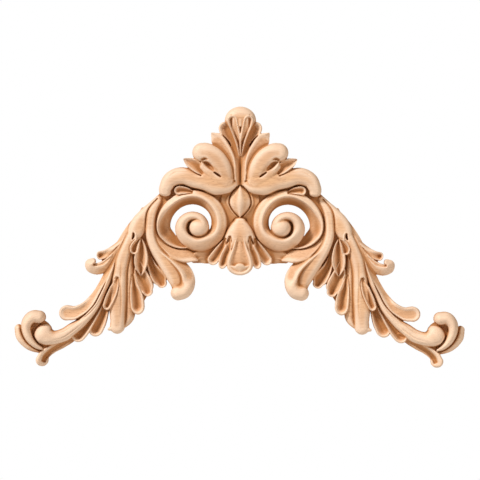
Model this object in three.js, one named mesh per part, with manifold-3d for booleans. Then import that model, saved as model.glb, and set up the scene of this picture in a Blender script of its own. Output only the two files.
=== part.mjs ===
// Carved corner applique: acanthus leaves, two open volutes and a bead between them, cut from one
// piece of wood with a flat back. The back lies in the plane y = 0 and the carving rises towards -Y.
// The origin is on the back, on the line of symmetry, at the height of the bead's middle.
import * as THREE from "three";
import * as BufferGeometryUtils from "three/addons/utils/BufferGeometryUtils.js";
import Module from "manifold-3d";

// Driving sizes in millimetres.
const SPAN = 320; // from tip to tip
const RELIEF = 24; // greatest depth, from the flat back to the top of the brow

// The carving is drawn on a sheet that is DRAWN_SPAN units wide. A station on a stroke is
// [out from the line of symmetry, up from the bead's middle, half width, height of the crown],
// the first three in sheet units and the last as a share of the relief.
const DRAWN_SPAN = 450;
const UNIT = SPAN / DRAWN_SPAN;

// How finely the strokes are faceted.
const STEP = 14; // longest facet along a stroke, in sheet units
const TURN = 0.6; // most that a stroke turns from one row to the next, in radians
const CHUNK = 7; // rows in one block of a stroke
const TIP_ANGLES = [38, 76]; // rows around a round tip, in degrees
const SLIT_LID = 1.25; // height of a slit cutter's lid, as a share of the relief
const SLIT_FLOOR = 0.4; // width of a slit's floor, as a share of its width at the top
const SHORTEST_EDGE = 0.25; // edges shorter than this are closed up, mm
const THINNEST_FACE = 0.02; // faces lower than this over their long edge are turned, mm
const TOUCHING = 0.01; // points nearer than this, but not joined, are drawn apart, mm
const CRUMB = 0.01; // a scrap smaller than this is left out, mm3
const BEHIND = 1.5; // how far the blocks reach behind the back before they are cut flat, mm

// Cross sections: places across the stroke (-1 right of travel, +1 left of travel) and the height
// there, as a share of the way from the edge's height to the crown's.
const SECTIONS = {
  flat: [[-1, 1], [1, 1]],
  keel: [[-1, 0], [-0.5, 0.56], [0, 1], [0.5, 0.56], [1, 0]],
  roll: [[-1, 0], [-0.64, 0.76], [0, 1], [0.64, 0.76], [1, 0]],
  soft: [[-1, 0.1], [-0.6, 0.72], [0, 1], [0.6, 0.72], [1, 0.1]],
  scoop: [[-1, 0.4], [-0.84, 1], [0, 0.25], [0.84, 1], [1, 0.4]],
  shallow: [[-1, 0.3], [-0.8, 1], [0, 0.66], [0.8, 1], [1, 0.3]],
  leanLeft: [[-1, 0], [-0.3, 0.38], [0.3, 0.82], [0.75, 1], [1, 0.1]],
  leanRight: [[-1, 0.1], [-0.75, 1], [-0.3, 0.82], [0.3, 0.38], [1, 0]],
  twin: [[-1, 0.5], [-0.84, 1], [-0.44, 0.12], [0, 0.85], [0.44, 0.12], [0.84, 1], [1, 0.5]],
  ringLeft: [[-1, 0], [-0.66, 0.95], [-0.3, 0.85], [0.3, 0.3], [1, -0.2]],
  ringTop: [[-1, 0], [-0.6, 0.76], [-0.1, 1], [0.45, 0.42], [1, -0.15]],
  ringRight: [[-1, 0], [-0.5, 0.7], [0.12, 1], [0.62, 0.7], [1, 0.05]],
  ringFoot: [[-1, 0], [-0.5, 0.7], [0.15, 1], [0.68, 0.78], [1, 0.2]],
};

// Places that several strokes share, in sheet units.
const VOLUTE_CENTRE = [45, -26];
const VOLUTE_EYE = { middle: [40.8, -26.7], radius: 9.7, height: 0.87 };
const END_BALL = { middle: [194.6, -133.6], radius: 12.3, height: 0.68 };
const BEAD = { halfLength: 16.6, halfWidth: 11, height: 0.82 };

// Low ground that ties the leaves together behind the gaps between them.
function grounds() {
  return [
    { section: "flat", edge: 1, path: [[84, -30, 7, 0.4], [86, -16, 7.5, 0.42], [79, -3, 8, 0.44],
      [58, 6, 8, 0.44], [32, 10, 7, 0.44], [8, 12, 7, 0.44]] },
    { section: "flat", edge: 1, path: [[84, -34, 7, 0.4], [79, -46, 7, 0.38], [66, -53, 7, 0.36],
      [44, -52, 7, 0.36], [22, -42, 9, 0.36]] },
    { section: "flat", edge: 1, path: [[66, -46, 5, 0.38], [56, -38, 5, 0.4]] },
    { section: "flat", edge: 1, path: [[94, -18, 4, 0.32], [98, -34, 8, 0.32], [103, -58, 13.5, 0.3],
      [110, -83, 12, 0.28], [116, -106, 7, 0.26]] },
    { section: "flat", edge: 1, path: [[86, -46, 6, 0.3], [86, -66, 10, 0.3], [97, -88, 9, 0.28],
      [104, -102, 6, 0.26]] },
    { section: "flat", edge: 1, path: [[112, -44, 4, 0.34], [128, -56, 5, 0.34], [137, -59.5, 3, 0.34]] },
    { section: "flat", edge: 1, path: [[2, 40, 7, 0.5], [14, 50, 7, 0.5], [22, 54, 5, 0.5]] },
    { section: "flat", edge: 1, path: [[112, -52, 5, 0.3], [131, -92, 7, 0.28], [145, -112, 5.5, 0.27],
      [166, -128, 5.5, 0.26], [188, -139, 7.5, 0.26]] },
    disc([43.6, -27], 13.6, 0.42, "flat", 1),
  ];
}

// A round boss: a very short stroke with two round ends.
function disc([out, up], radius, height, section = "roll", edge = 0.6) {
  return {
    section, edge, root: 1, tip: 1,
    path: [[out + 0.4, up, radius, height], [out - 0.4, up, radius, height]],
  };
}

// The open ring, which winds into a coil and ends in the eye. Here a station is
// [angle in degrees, distance from the volute's centre, half width, height].
function volute() {
  const foot = ["ringFoot", "ringFoot", "ringFoot"];
  return [
    {
      section: [
        ...["ringLeft", "ringLeft", "ringLeft", "ringLeft"],
        ...["ringTop", "ringTop", "ringRight", "ringRight"],
        ...foot, "roll", "roll", "roll", "roll",
      ],
      edge: 0.6,
      centre: VOLUTE_CENTRE,
      path: [[-84, 20.6, 4.2, 0.47], [-40, 26.2, 5.6, 0.58], [-20, 28.6, 7, 0.62],
        [0, 31.5, 6.9, 0.66], [45, 30.9, 7, 0.7], [90, 29.6, 7.4, 0.74], [135, 27.4, 7.7, 0.76],
        [180, 24, 8, 0.77], [225, 20.3, 7.8, 0.76], [270, 17, 7, 0.74], [315, 15, 6.2, 0.75],
        [360, 13.5, 6, 0.77], [405, 12.1, 4.9, 0.79], [450, 10.5, 4.4, 0.81],
        [510, 9.4, 4.7, 0.82]],
    },
    disc(VOLUTE_EYE.middle, VOLUTE_EYE.radius, VOLUTE_EYE.height, "roll", 0.66),
  ];
}

// The two hooked leaves below the volute, and the leaf that wraps its outer side.
function hook() {
  return [
    { section: "soft", edge: 0.68, path: [[85, -8, 2.5, 0.5], [86.5, -24, 3.6, 0.54],
      [83.8, -37, 4.6, 0.56], [76, -47.5, 5.4, 0.57], [65.5, -53.6, 6.8, 0.57],
      [55, -56.6, 7, 0.56], [41.5, -58, 0.6, 0.5]] },
    { section: "roll", edge: 0.7, path: [[79, 2, 2.5, 0.5], [87, -10, 4.6, 0.58],
      [88.8, -33, 5.2, 0.64], [79.3, -56.5, 6.7, 0.65], [65.5, -75.5, 8, 0.62],
      [62, -89, 5.4, 0.6]] },
    { section: ["leanLeft", "leanLeft", "leanLeft", "leanLeft", "roll", "roll", "roll"],
      edge: [0.55, 0.7], tip: 1, path: [[86, -43, 0.6, 0.62], [76, -52, 3.2, 0.67],
        [66, -58.5, 4.6, 0.71], [57.8, -66, 5.8, 0.74], [52, -78, 6.6, 0.77],
        [55.5, -89.7, 7.3, 0.77], [61.8, -92, 7.3, 0.76]] },
  ];
}

// The arm: a broad middle leaf with leaflets under it and a long frond above it.
function arm() {
  return [
    { section: "soft", edge: 0.7, path: [[105, -56, 1.5, 0.5], [110, -79, 3.2, 0.47],
      [109.8, -103, 4.2, 0.42], [109.8, -112, 5.2, 0.4], [116, -127.5, 0.8, 0.36]] },
    { section: "scoop", edge: [0.66, 0.78], tip: 1, path: [[106.5, -75, 0.8, 0.5],
      [105.5, -84, 4, 0.52], [103, -95, 6.8, 0.52], [101.5, -107.5, 5.9, 0.5]] },
    { section: "scoop", edge: 0.7, tip: 1, path: [[91, -54, 1.5, 0.5], [87, -64, 4.8, 0.52],
      [82.5, -74, 6.8, 0.52], [78.5, -80.8, 5.6, 0.5]] },
    { section: "scoop", edge: 0.7, tip: 1, path: [[101, -66, 2, 0.54], [97.5, -75, 6, 0.56],
      [94, -83, 7.2, 0.56], [92.2, -88.5, 6.4, 0.54]] },
    { section: "scoop", edge: 0.75, path: [[98.5, -38, 0.6, 0.64], [98.5, -47, 4.4, 0.68],
      [98, -57, 7.2, 0.69], [97.6, -66, 6.2, 0.66], [98.6, -76, 0.5, 0.58]] },
    { section: "roll", edge: 0.62, path: [[99, -13, 0.8, 0.5], [106, -21.5, 2.3, 0.54],
      [112.7, -32, 3.1, 0.56], [125, -58.5, 3.3, 0.57], [137.7, -84.7, 4, 0.57],
      [144.2, -95.7, 4.7, 0.57], [153.4, -105.6, 5.7, 0.56]] },
    { section: ["roll", "scoop", "scoop"], edge: 0.62, tip: 1, path: [[153.4, -105.6, 5.7, 0.56],
      [163.6, -112.2, 6.7, 0.55], [172, -113.8, 7.2, 0.55]] },
    { section: "roll", edge: 0.66, tip: 1, path: [[82, 1, 3, 0.5], [91.5, -11, 6.2, 0.56],
      [98.5, -24, 8.3, 0.6], [105.5, -39, 8.6, 0.62], [113, -57, 8.6, 0.63],
      [119.5, -75, 9, 0.62], [122.8, -101, 10, 0.6], [121.8, -110.5, 9.4, 0.58],
      [125.3, -126, 5.6, 0.5]] },
    { section: "scoop", edge: 0.78, tip: 1, path: [[99.5, -38, 0.6, 0.64],
      [103.5, -43, 3.1, 0.67], [106.2, -51.2, 3.4, 0.68]] },
    { section: "scoop", edge: 0.75, tip: 1.2, path: [[121.5, -74, 0.5, 0.6],
      [126, -86, 4.8, 0.67], [129, -95, 5.3, 0.69], [132, -103, 4.4, 0.67]] },
    { section: "roll", edge: 0.6, path: [[121, -43, 1.2, 0.46], [129, -50.5, 2.8, 0.47],
      [135, -54, 4.1, 0.47]] },
    { section: ["roll", "scoop"], edge: 0.6, tip: 0.8, path: [[135, -54, 4.1, 0.47],
      [139, -55.2, 4.4, 0.46]] },
    { section: "roll", edge: 0.55, tip: 1, path: [[124, -50, 1.5, 0.5], [129, -57, 3.2, 0.52],
      [135, -63.8, 5, 0.54], [143, -67, 5.6, 0.56], [148.6, -65.2, 5, 0.57],
      [149.2, -61.6, 4, 0.56]] },
  ];
}

// The stem at the end of the arm, with its ball, scroll, foot and flutes.
function farEnd() {
  return [
    { section: "roll", edge: 0.6, tip: 1, path: [[198, -150, 1.8, 0.36], [208, -147, 3.3, 0.4],
      [216, -140.5, 4, 0.43], [221.5, -127, 3.5, 0.44]] },
    { section: "leanRight", edge: 0.6, tip: 1, path: [[162, -134, 1.5, 0.34],
      [172, -138.5, 3.8, 0.38], [182, -143.5, 4.8, 0.4], [190, -148, 4.8, 0.42],
      [195.8, -153.7, 5.4, 0.43], [197.6, -159.6, 6.1, 0.44]] },
    { section: "scoop", edge: 0.7, tip: 1, path: [[133, -102, 1, 0.42], [136, -111, 3.6, 0.42],
      [145, -128.4, 5.6, 0.4]] },
    { section: "scoop", edge: 0.7, tip: 1, path: [[134, -92, 1, 0.48], [140, -103, 3.2, 0.48],
      [153.5, -125, 5.2, 0.47], [159.5, -134.2, 5.6, 0.45]] },
    { section: "roll", edge: 0.62, path: [[129.5, -77, 1.5, 0.54], [143.5, -102, 4.8, 0.57],
      [162, -123, 6.7, 0.57], [172.5, -132, 6.8, 0.57], [182, -137.4, 7, 0.58],
      [189, -137, 9, 0.6]] },
    disc(END_BALL.middle, END_BALL.radius, END_BALL.height, "roll", 0.5),
    { section: "roll", edge: 0.6, tip: 1, path: [[193, -147, 2.5, 0.5], [201, -144.5, 3.8, 0.58],
      [208, -139, 5.1, 0.66], [212, -131, 5.6, 0.7], [212, -122.5, 5.8, 0.73],
      [208, -116.6, 5.8, 0.75], [198.4, -115.6, 5.4, 0.74]] },
  ];
}

// The brow over the volute: two lobes that curl outwards, with small leaves between them.
function brow() {
  return [
    { section: "scoop", edge: 0.8, tip: 1, path: [[43, 14.5, 1.5, 0.56], [53, 13, 4, 0.58],
      [65.5, 7.6, 5.4, 0.56]] },
    { section: "scoop", edge: 0.7, path: [[33, 27, 5.5, 0.7], [41, 32, 7.8, 0.7],
      [48.5, 37.4, 6, 0.66], [55.8, 42.6, 0.6, 0.6]] },
    { section: "leanRight", edge: [0.75, 0.6], tip: 0.8, path: [[4, 17, 4, 0.62],
      [5.8, 31, 5.8, 0.66], [8.8, 44, 7, 0.7], [15.5, 55, 6.5, 0.73], [24.3, 63, 5.8, 0.73]] },
    { section: "flat", edge: 1, path: [[10, 20, 9, 0.7], [20, 26, 9, 0.74], [30, 32, 8, 0.76],
      [36, 38, 6, 0.78]] },
    { section: "roll", edge: 0.68, tip: 0.8, path: [[9, 24, 8.5, 0.8], [19, 18, 12.3, 0.86],
      [34, 20, 10, 0.84], [49, 22.3, 9.3, 0.8], [61.5, 23.6, 8.2, 0.78], [70, 19.6, 7, 0.77],
      [74.2, 9.5, 6, 0.7]] },
    { section: "roll", edge: 0.68, tip: 1, path: [[11, 17, 6.5, 0.84], [14, 30, 7.4, 0.92],
      [21.5, 40.6, 9.3, 0.97], [31.5, 46.4, 10, 1], [38.5, 47.3, 9.2, 0.99]] },
    { section: "scoop", edge: 0.82, tip: 1, path: [[19, 24.5, 2.3, 0.86],
      [25.5, 31.5, 4.6, 0.92], [35, 38.2, 4.6, 0.93]] },
    { section: "scoop", edge: 0.7, tip: 1, path: [[1.5, 44, 1.2, 0.6], [6.5, 55, 4.2, 0.64],
      [14, 73, 6.4, 0.67]] },
    { section: "leanLeft", edge: [0.6, 0.75], path: [[16, -38, 3, 0.42], [24, -47, 6.5, 0.44],
      [31.5, -52.4, 8.5, 0.44], [39, -54.7, 6.5, 0.43], [45.5, -55.2, 1.5, 0.4]] },
  ];
}

// The flutes of the shell that lie to one side of its middle flute.
function shellSides() {
  return [
    { section: "scoop", edge: 0.7, tip: 1, path: [[9.5, -32, 0.6, 0.64], [14.5, -42, 3.6, 0.64],
      [20.5, -51.5, 5.2, 0.64], [26, -58.2, 5.8, 0.6]] },
    { section: "scoop", edge: 0.7, tip: 1.1, path: [[5.5, -31, 0.6, 0.72], [9, -43, 3.8, 0.74],
      [15.5, -61, 5.4, 0.7]] },
  ];
}

// Everything that stands on the line of symmetry: crown leaf, bead and shell.
function middle() {
  const { halfLength, halfWidth, height } = BEAD;
  return [
    { section: "flat", edge: 1, path: [[0, 48, 4, 0.5], [0, 30, 6, 0.5], [0, 13, 12, 0.4],
      [0, 2, 24, 0.38], [0, -30, 18, 0.4], [0, -44, 14, 0.42]] },
    { section: "twin", edge: 0.62, tip: 1, path: [[0, 44.5, 0.4, 0.66], [0, 56, 4.8, 0.73],
      [0, 68, 9.8, 0.78], [0, 80, 14.4, 0.83]] },
    disc([0, 85.4], 8.4, 0.92, "roll", 0.8),
    { section: "scoop", edge: 0.66, path: [[0, 19, 0.5, 0.5], [0, 11, 10, 0.56],
      [0, 0, 15.5, 0.58], [0, -9, 12, 0.56], [0, -18, 5, 0.5]] },
    { section: "keel", edge: 0.74, path: [[0, halfLength, 0.5, 0.75 * height],
      [0, 0.55 * halfLength, 0.7 * halfWidth, 0.93 * height], [0, 0, halfWidth, height],
      [0, -0.55 * halfLength, 0.7 * halfWidth, 0.93 * height],
      [0, -halfLength, 0.5, 0.75 * height]] },
    { section: "roll", edge: 0.66, path: [[0, -17, 3, 0.6], [0, -24, 9.3, 0.7],
      [0, -34, 13.5, 0.76], [0, -42, 16, 0.72], [0, -50, 14, 0.6]] },
    { section: "scoop", edge: 0.7, tip: 0.88, path: [[0, -29, 0.6, 0.76], [0, -38, 3.6, 0.78],
      [0, -47, 7.8, 0.78], [0, -62.3, 13.4, 0.76]] },
    { section: "roll", edge: 0.6, root: 1, tip: 1, path: [[-3.5, -68, 5.6, 0.78],
      [3.5, -68, 5.6, 0.78]] },
  ];
}

// Slits and pits cut down into the leaves. Here the height is that of the floor.
function slits() {
  return [
    [[19.7, 23.8, 1.3, 0.5], [22.5, 26, 2.1, 0.45], [25.7, 28, 1.1, 0.5]],
    [[10, 54.5, 0.9, 0.4], [12.5, 58, 1.3, 0.4], [17, 63, 0.8, 0.55]],
    [[13.5, 82.5, 1.6, 0.5], [10.3, 80.5, 3, 0.45], [7, 78, 1.2, 0.5]],
    [[10.4, -38, 1, 0.4], [11.7, -41.3, 1.5, 0.3], [13.4, -44.6, 0.9, 0.4]],
    [[104.7, -30.5, 1, 0.3], [105.4, -34, 1.7, 0.25], [107, -37.8, 0.9, 0.3]],
    [[125.2, -77.5, 1, 0.3], [126.5, -80.5, 1.5, 0.25], [128.7, -85, 0.8, 0.3]],
  ].map((path) => ({ section: "flat", slit: true, path }));
}

// One value of the smooth curve through b and c, with a and d as its neighbours.
function smooth(a, b, c, d, t) {
  return 0.5 * (2 * b + (c - a) * t + (2 * a - 5 * b + 4 * c - d) * t ** 2
    + (3 * b - a - 3 * c + d) * t ** 3);
}

// A station as numbers that can be blended: path values, then the section's places and shares.
function fullStation(stroke, index) {
  const name = Array.isArray(stroke.section) ? stroke.section[index] : stroke.section;
  return [...stroke.path[index], ...SECTIONS[name].flat()];
}

// The point on the sheet where a blended station lies.
function sheetPoint(stroke, station) {
  if (!stroke.centre) {
    return new THREE.Vector2(station[0], station[1]);
  }
  const angle = THREE.MathUtils.degToRad(station[0]);
  return new THREE.Vector2(Math.cos(angle), Math.sin(angle))
    .multiplyScalar(station[1])
    .add(new THREE.Vector2(...stroke.centre));
}

// Rows along a stroke: middle point, direction of travel, half width, height and section.
function rowsAlong(stroke) {
  const stations = stroke.path.map((_, index) => fullStation(stroke, index));
  const last = stations.length - 1;
  const before = stations[0].map((value, k) => 2 * value - stations[1][k]);
  const after = stations[last].map((value, k) => 2 * value - stations[last - 1][k]);
  const all = [before, ...stations, after];
  const blend = (i, t) => all[i + 1].map((_, k) => smooth(
    all[i][k], all[i + 1][k], all[i + 2][k], all[i + 3][k], t));
  const travel = (i, t) => sheetPoint(stroke, blend(i, Math.min(t + 0.01, 1)))
    .sub(sheetPoint(stroke, blend(i, Math.max(t - 0.01, 0))))
    .normalize();
  const row = (i, t) => {
    const station = blend(i, t);
    const section = [];
    for (let k = 4; k < station.length; k += 2) {
      section.push([station[k], station[k + 1]]);
    }
    return {
      point: sheetPoint(stroke, station),
      travel: travel(i, t),
      width: Math.max(station[2], 0.3),
      height: station[3],
      section,
    };
  };
  const rows = [];
  for (let i = 0; i < last; i += 1) {
    const length = sheetPoint(stroke, stations[i]).distanceTo(sheetPoint(stroke, stations[i + 1]));
    const turn = travel(i, 0).angleTo(travel(i, 1));
    const count = Math.max(1, Math.round(length / STEP), Math.round(turn / TURN));
    for (let n = 0; n < count; n += 1) {
      rows.push(row(i, n / count));
    }
  }
  rows.push(row(last - 1, 1));
  return rows;
}

// The share of a section's height at one place across it.
function shareAt(section, place) {
  for (let k = 1; k < section.length; k += 1) {
    const [u0, s0] = section[k - 1];
    const [u1, s1] = section[k];
    if (place <= u1) {
      return THREE.MathUtils.lerp(s0, s1, THREE.MathUtils.clamp((place - u0) / (u1 - u0), 0, 1));
    }
  }
  return section.at(-1)[1];
}

// Rows that close a stroke with a round end. The section is turned about the end's middle, so that
// a crown ends in a dome and a rim runs on around the tip.
function roundEnd(row, sense, stretch) {
  return TIP_ANGLES.map((degrees) => {
    const angle = THREE.MathUtils.degToRad(degrees);
    const section = row.section.map(([place]) => {
      const across = place * Math.cos(angle);
      const radius = Math.min(Math.hypot(across, Math.sin(angle)), 1);
      const left = 0.5 * (1 + across / radius);
      const share = (1 - left) * shareAt(row.section, -radius) + left * shareAt(row.section, radius);
      return [place, share];
    });
    const reach = sense * stretch * row.width * Math.sin(angle);
    return {
      ...row,
      point: row.point.clone().addScaledVector(row.travel, reach),
      width: row.width * Math.cos(angle),
      section,
    };
  });
}

// All rows of a stroke with its round ends. On the inner side of a tight bend the stroke is kept
// narrower than the bend's radius.
function strokeRows(stroke) {
  const rows = rowsAlong(stroke);
  rows.forEach((row, i) => {
    const from = rows[Math.max(i - 1, 0)];
    const to = rows[Math.min(i + 1, rows.length - 1)];
    const length = from.point.distanceTo(to.point);
    const turn = from.travel.cross(to.travel);
    const limit = Math.abs(turn) > 0.05 ? (0.9 * length) / Math.abs(turn) : Infinity;
    row.left = turn > 0 ? Math.min(row.width, limit) / row.width : 1;
    row.right = turn < 0 ? Math.min(row.width, limit) / row.width : 1;
  });
  const ends = rows.slice();
  if (stroke.root) {
    ends.unshift(...roundEnd(rows[0], -1, stroke.root).reverse());
  }
  if (stroke.tip) {
    ends.push(...roundEnd(rows.at(-1), 1, stroke.tip));
  }
  return ends;
}

// One row as a ring of points: over the carving from right to left, then back behind the back.
// A slit's ring is the section of the cutter instead: a lid above the carving and a narrow floor.
function ringOf(row, stroke, side) {
  const across = new THREE.Vector2(-row.travel.y, row.travel.x);
  const at = (place, rise) => {
    const reach = place * row.width * (place > 0 ? row.left : row.right);
    const spot = row.point.clone().addScaledVector(across, reach);
    return new THREE.Vector3(side * spot.x * UNIT, -rise * RELIEF, spot.y * UNIT);
  };
  if (stroke.slit) {
    return [at(-1, SLIT_LID), at(1, SLIT_LID), at(SLIT_FLOOR, row.height), at(-SLIT_FLOOR, row.height)];
  }
  const [edgeRight, edgeLeft] = Array.isArray(stroke.edge) ? stroke.edge : [stroke.edge, stroke.edge];
  const ring = row.section.map(([place, share]) => {
    const edge = THREE.MathUtils.lerp(edgeRight, edgeLeft, (place + 1) / 2);
    return at(place, row.height * (edge + (1 - edge) * share));
  });
  const left = ring.at(-1).clone().setY(BEHIND);
  const right = ring[0].clone().setY(BEHIND);
  return [...ring, left, right];
}

// A closed block through a run of rings.
function block(rings, side) {
  const size = rings[0].length;
  const positions = rings.flat().flatMap((point) => point.toArray());
  const faces = [];
  const face = (a, b, c) => faces.push(...(side > 0 ? [a, b, c] : [a, c, b]));
  const end = (rings.length - 1) * size;
  for (let i = 0; i < rings.length - 1; i += 1) {
    for (let k = 0; k < size; k += 1) {
      const a = i * size + k;
      const b = i * size + ((k + 1) % size);
      face(a, a + size, b + size);
      face(a, b + size, b);
    }
  }
  for (let k = 0; k < size - 2; k += 1) {
    face(size - 1, k, k + 1);
    face(end + size - 1, end + k + 1, end + k);
  }
  const geometry = new THREE.BufferGeometry();
  geometry.setAttribute("position", new THREE.Float32BufferAttribute(positions, 3));
  geometry.setIndex(faces);
  return geometry;
}

// The blocks of one stroke. A long stroke is made in several blocks that meet at whole rows, so
// that one which winds past itself, as the volute does, is still joined cleanly.
function strokeBlocks(stroke, side) {
  const rings = strokeRows(stroke).map((row) => ringOf(row, stroke, side));
  const blocks = [];
  for (let i = 0; i < rings.length - 1; i += CHUNK) {
    blocks.push(block(rings.slice(i, i + CHUNK + 1), side));
  }
  return blocks;
}

const wasm = await Module();
wasm.setup();

function toSolid(geometry) {
  const vertProperties = new Float32Array(geometry.attributes.position.array);
  const triVerts = new Uint32Array(geometry.index.array);
  return new wasm.Manifold(new wasm.Mesh({ numProp: 3, vertProperties, triVerts }));
}

// The joined carving as points and faces, for the clean-up below.
function toMesh(solid) {
  const { vertProperties, triVerts } = solid.getMesh();
  const points = [];
  for (let i = 0; i < vertProperties.length; i += 3) {
    points.push(new THREE.Vector3().fromArray(vertProperties, i));
  }
  const faces = [];
  for (let i = 0; i < triVerts.length; i += 3) {
    faces.push([...triVerts.slice(i, i + 3)]);
  }
  return { points, faces };
}

// For each point, the faces that meet there.
function facesAround({ points, faces }) {
  const around = points.map(() => new Set());
  faces.forEach((face, index) => face.forEach((corner) => around[corner].add(index)));
  return around;
}

function neighbours(corner, faces, around) {
  const found = new Set([...around[corner]].flatMap((index) => faces[index]));
  found.delete(corner);
  return found;
}

// Closes up edges that are too short to see. The point nearer to the back stays, so the back
// stays flat.
function closeShortEdges(mesh) {
  const { points, faces } = mesh;
  const around = facesAround(mesh);
  faces.forEach((face, index) => {
    for (let k = 0; k < 3 && faces[index]; k += 1) {
      const pair = [face[k], face[(k + 1) % 3]];
      if (points[pair[0]].distanceTo(points[pair[1]]) > SHORTEST_EDGE) {
        continue;
      }
      const [keep, drop] = points[pair[0]].y > points[pair[1]].y ? pair : [pair[1], pair[0]];
      const shared = neighbours(keep, faces, around);
      const common = [...neighbours(drop, faces, around)].filter((corner) => shared.has(corner));
      if (common.length !== 2 || !moveKeepsSides(drop, keep, mesh, around)) {
        continue;
      }
      for (const moved of [...around[drop]]) {
        if (faces[moved].includes(keep)) {
          faces[moved].forEach((corner) => around[corner].delete(moved));
          faces[moved] = null;
        } else {
          faces[moved][faces[moved].indexOf(drop)] = keep;
          around[keep].add(moved);
        }
      }
      around[drop].clear();
    }
  });
  mesh.faces = faces.filter(Boolean);
}

function normalOf([a, b, c], points) {
  return new THREE.Triangle(points[a], points[b], points[c]).getNormal(new THREE.Vector3());
}

// Whether a point can move onto another without turning any of its faces over.
function moveKeepsSides(drop, keep, { points, faces }, around) {
  return [...around[drop]].every((index) => {
    const face = faces[index];
    if (face.includes(keep)) {
      return true;
    }
    const moved = face.map((corner) => (corner === drop ? keep : corner));
    return normalOf(face, points).dot(normalOf(moved, points)) > 0.2;
  });
}

// The height of a face over its longest edge, and which corner lies across from that edge.
function thinnest(face, points) {
  const sides = face.map((corner, k) => (
    points[face[(k + 1) % 3]].distanceTo(points[face[(k + 2) % 3]])));
  const longest = Math.max(...sides);
  const [a, b, c] = face.map((corner) => points[corner]);
  return {
    height: (2 * new THREE.Triangle(a, b, c).getArea()) / longest,
    corner: sides.indexOf(longest),
  };
}

// Turns the long edge of each needle, so that no face is a sliver.
function turnNeedles(mesh) {
  const { points, faces } = mesh;
  const around = facesAround(mesh);
  faces.forEach((face, index) => {
    const thin = thinnest(face, points);
    if (thin.height > THINNEST_FACE) {
      return;
    }
    const [k, i, j] = [0, 1, 2].map((step) => face[(thin.corner + step) % 3]);
    const other = [...around[i]].find((f) => f !== index && around[j].has(f));
    const l = faces[other].find((corner) => corner !== i && corner !== j);
    if (neighbours(k, faces, around).has(l)) {
      return;
    }
    const turned = [[i, l, k], [l, j, k]];
    const before = Math.min(thin.height, thinnest(faces[other], points).height);
    if (Math.min(...turned.map((f) => thinnest(f, points).height)) <= before) {
      return;
    }
    [index, other].forEach((f, n) => {
      faces[f].forEach((corner) => around[corner].delete(f));
      faces[f] = turned[n];
    });
    [index, other].forEach((f) => faces[f].forEach((corner) => around[corner].add(f)));
  });
}

// Leaves out crumbs: closed scraps of a few faces with next to no volume, where two leaves only
// just touch.
function dropCrumbs(mesh) {
  const { points, faces } = mesh;
  const around = facesAround(mesh);
  const seen = new Set();
  const kept = [];
  faces.forEach((_, start) => {
    if (seen.has(start)) {
      return;
    }
    seen.add(start);
    const body = [start];
    for (let n = 0; n < body.length; n += 1) {
      for (const corner of faces[body[n]]) {
        for (const next of around[corner]) {
          if (!seen.has(next)) {
            seen.add(next);
            body.push(next);
          }
        }
      }
    }
    const volume = body.reduce((sum, index) => {
      const [a, b, c] = faces[index].map((corner) => points[corner]);
      return sum + a.dot(b.clone().cross(c)) / 6;
    }, 0);
    if (Math.abs(volume) > CRUMB) {
      kept.push(...body.map((index) => faces[index]));
    }
  });
  mesh.faces = kept;
}

// Draws apart points of two leaves that touch without being joined, each within its own surface and
// level with where it was, so that the back stays flat.
function drawApart(mesh) {
  const { points, faces } = mesh;
  const around = facesAround(mesh);
  const order = points.map((_, index) => index)
    .filter((index) => around[index].size > 0)
    .sort((a, b) => points[a].x - points[b].x);
  order.forEach((first, n) => {
    for (let m = n + 1; m < order.length; m += 1) {
      const second = order[m];
      if (points[second].x - points[first].x > TOUCHING) {
        break;
      }
      if (points[second].distanceTo(points[first]) < TOUCHING) {
        const near = [...neighbours(second, faces, around)].map((corner) => points[corner]);
        const middle = near.reduce((sum, point) => sum.add(point), new THREE.Vector3())
          .divideScalar(near.length);
        const away = middle.sub(points[second]).setY(0).setLength(3 * TOUCHING);
        points[second].add(away);
      }
    }
  });
}

function toGeometry({ points, faces }) {
  const geometry = new THREE.BufferGeometry();
  geometry.setAttribute("position", new THREE.Float32BufferAttribute(
    points.flatMap((point) => point.toArray()), 3));
  geometry.setIndex(faces.flat());
  return geometry;
}

// The carving with its short edges closed and its needles turned, a few times over, because each
// clean-up can leave work for the other.
function cleaned(solid) {
  const mesh = toMesh(solid);
  for (let pass = 0; pass < 4; pass += 1) {
    closeShortEdges(mesh);
    turnNeedles(mesh);
  }
  dropCrumbs(mesh);
  drawApart(mesh);
  return toGeometry(mesh);
}

// Joins solids in pairs, so that no step has to carry the whole carving for one small block.
function joinAll(solids) {
  let left = solids;
  while (left.length > 1) {
    const next = [];
    for (let i = 0; i < left.length; i += 2) {
      next.push(i + 1 < left.length ? left[i].add(left[i + 1]) : left[i]);
    }
    left = next;
  }
  return left[0];
}

function carve() {
  const half = [
    ...grounds(), ...volute(), ...hook(), ...arm(), ...farEnd(), ...brow(), ...shellSides(),
  ];
  const blocks = [
    ...half.flatMap((stroke) => [...strokeBlocks(stroke, 1), ...strokeBlocks(stroke, -1)]),
    ...middle().flatMap((stroke) => strokeBlocks(stroke, 1)),
  ];
  const cuts = slits().flatMap((stroke) => [
    ...strokeBlocks(stroke, 1), ...strokeBlocks(stroke, -1),
  ]);
  const reach = 2 * (SPAN + RELIEF);
  const behind = new THREE.BoxGeometry(reach, reach, reach).translate(0, reach / 2, 0);
  behind.deleteAttribute("normal");
  behind.deleteAttribute("uv");
  const { mergeVertices } = BufferGeometryUtils;
  const joined = joinAll(blocks.map(toSolid));
  return cleaned(joined.subtract(joinAll(cuts.map(toSolid))).subtract(toSolid(mergeVertices(behind))));
}

const beech = new THREE.MeshStandardMaterial({ color: 0xd3a67c, roughness: 0.62, metalness: 0 });

const applique = new THREE.Mesh(carve(), beech);
applique.name = "applique";

const part = new THREE.Group();
part.add(applique);

export default part;
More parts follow.
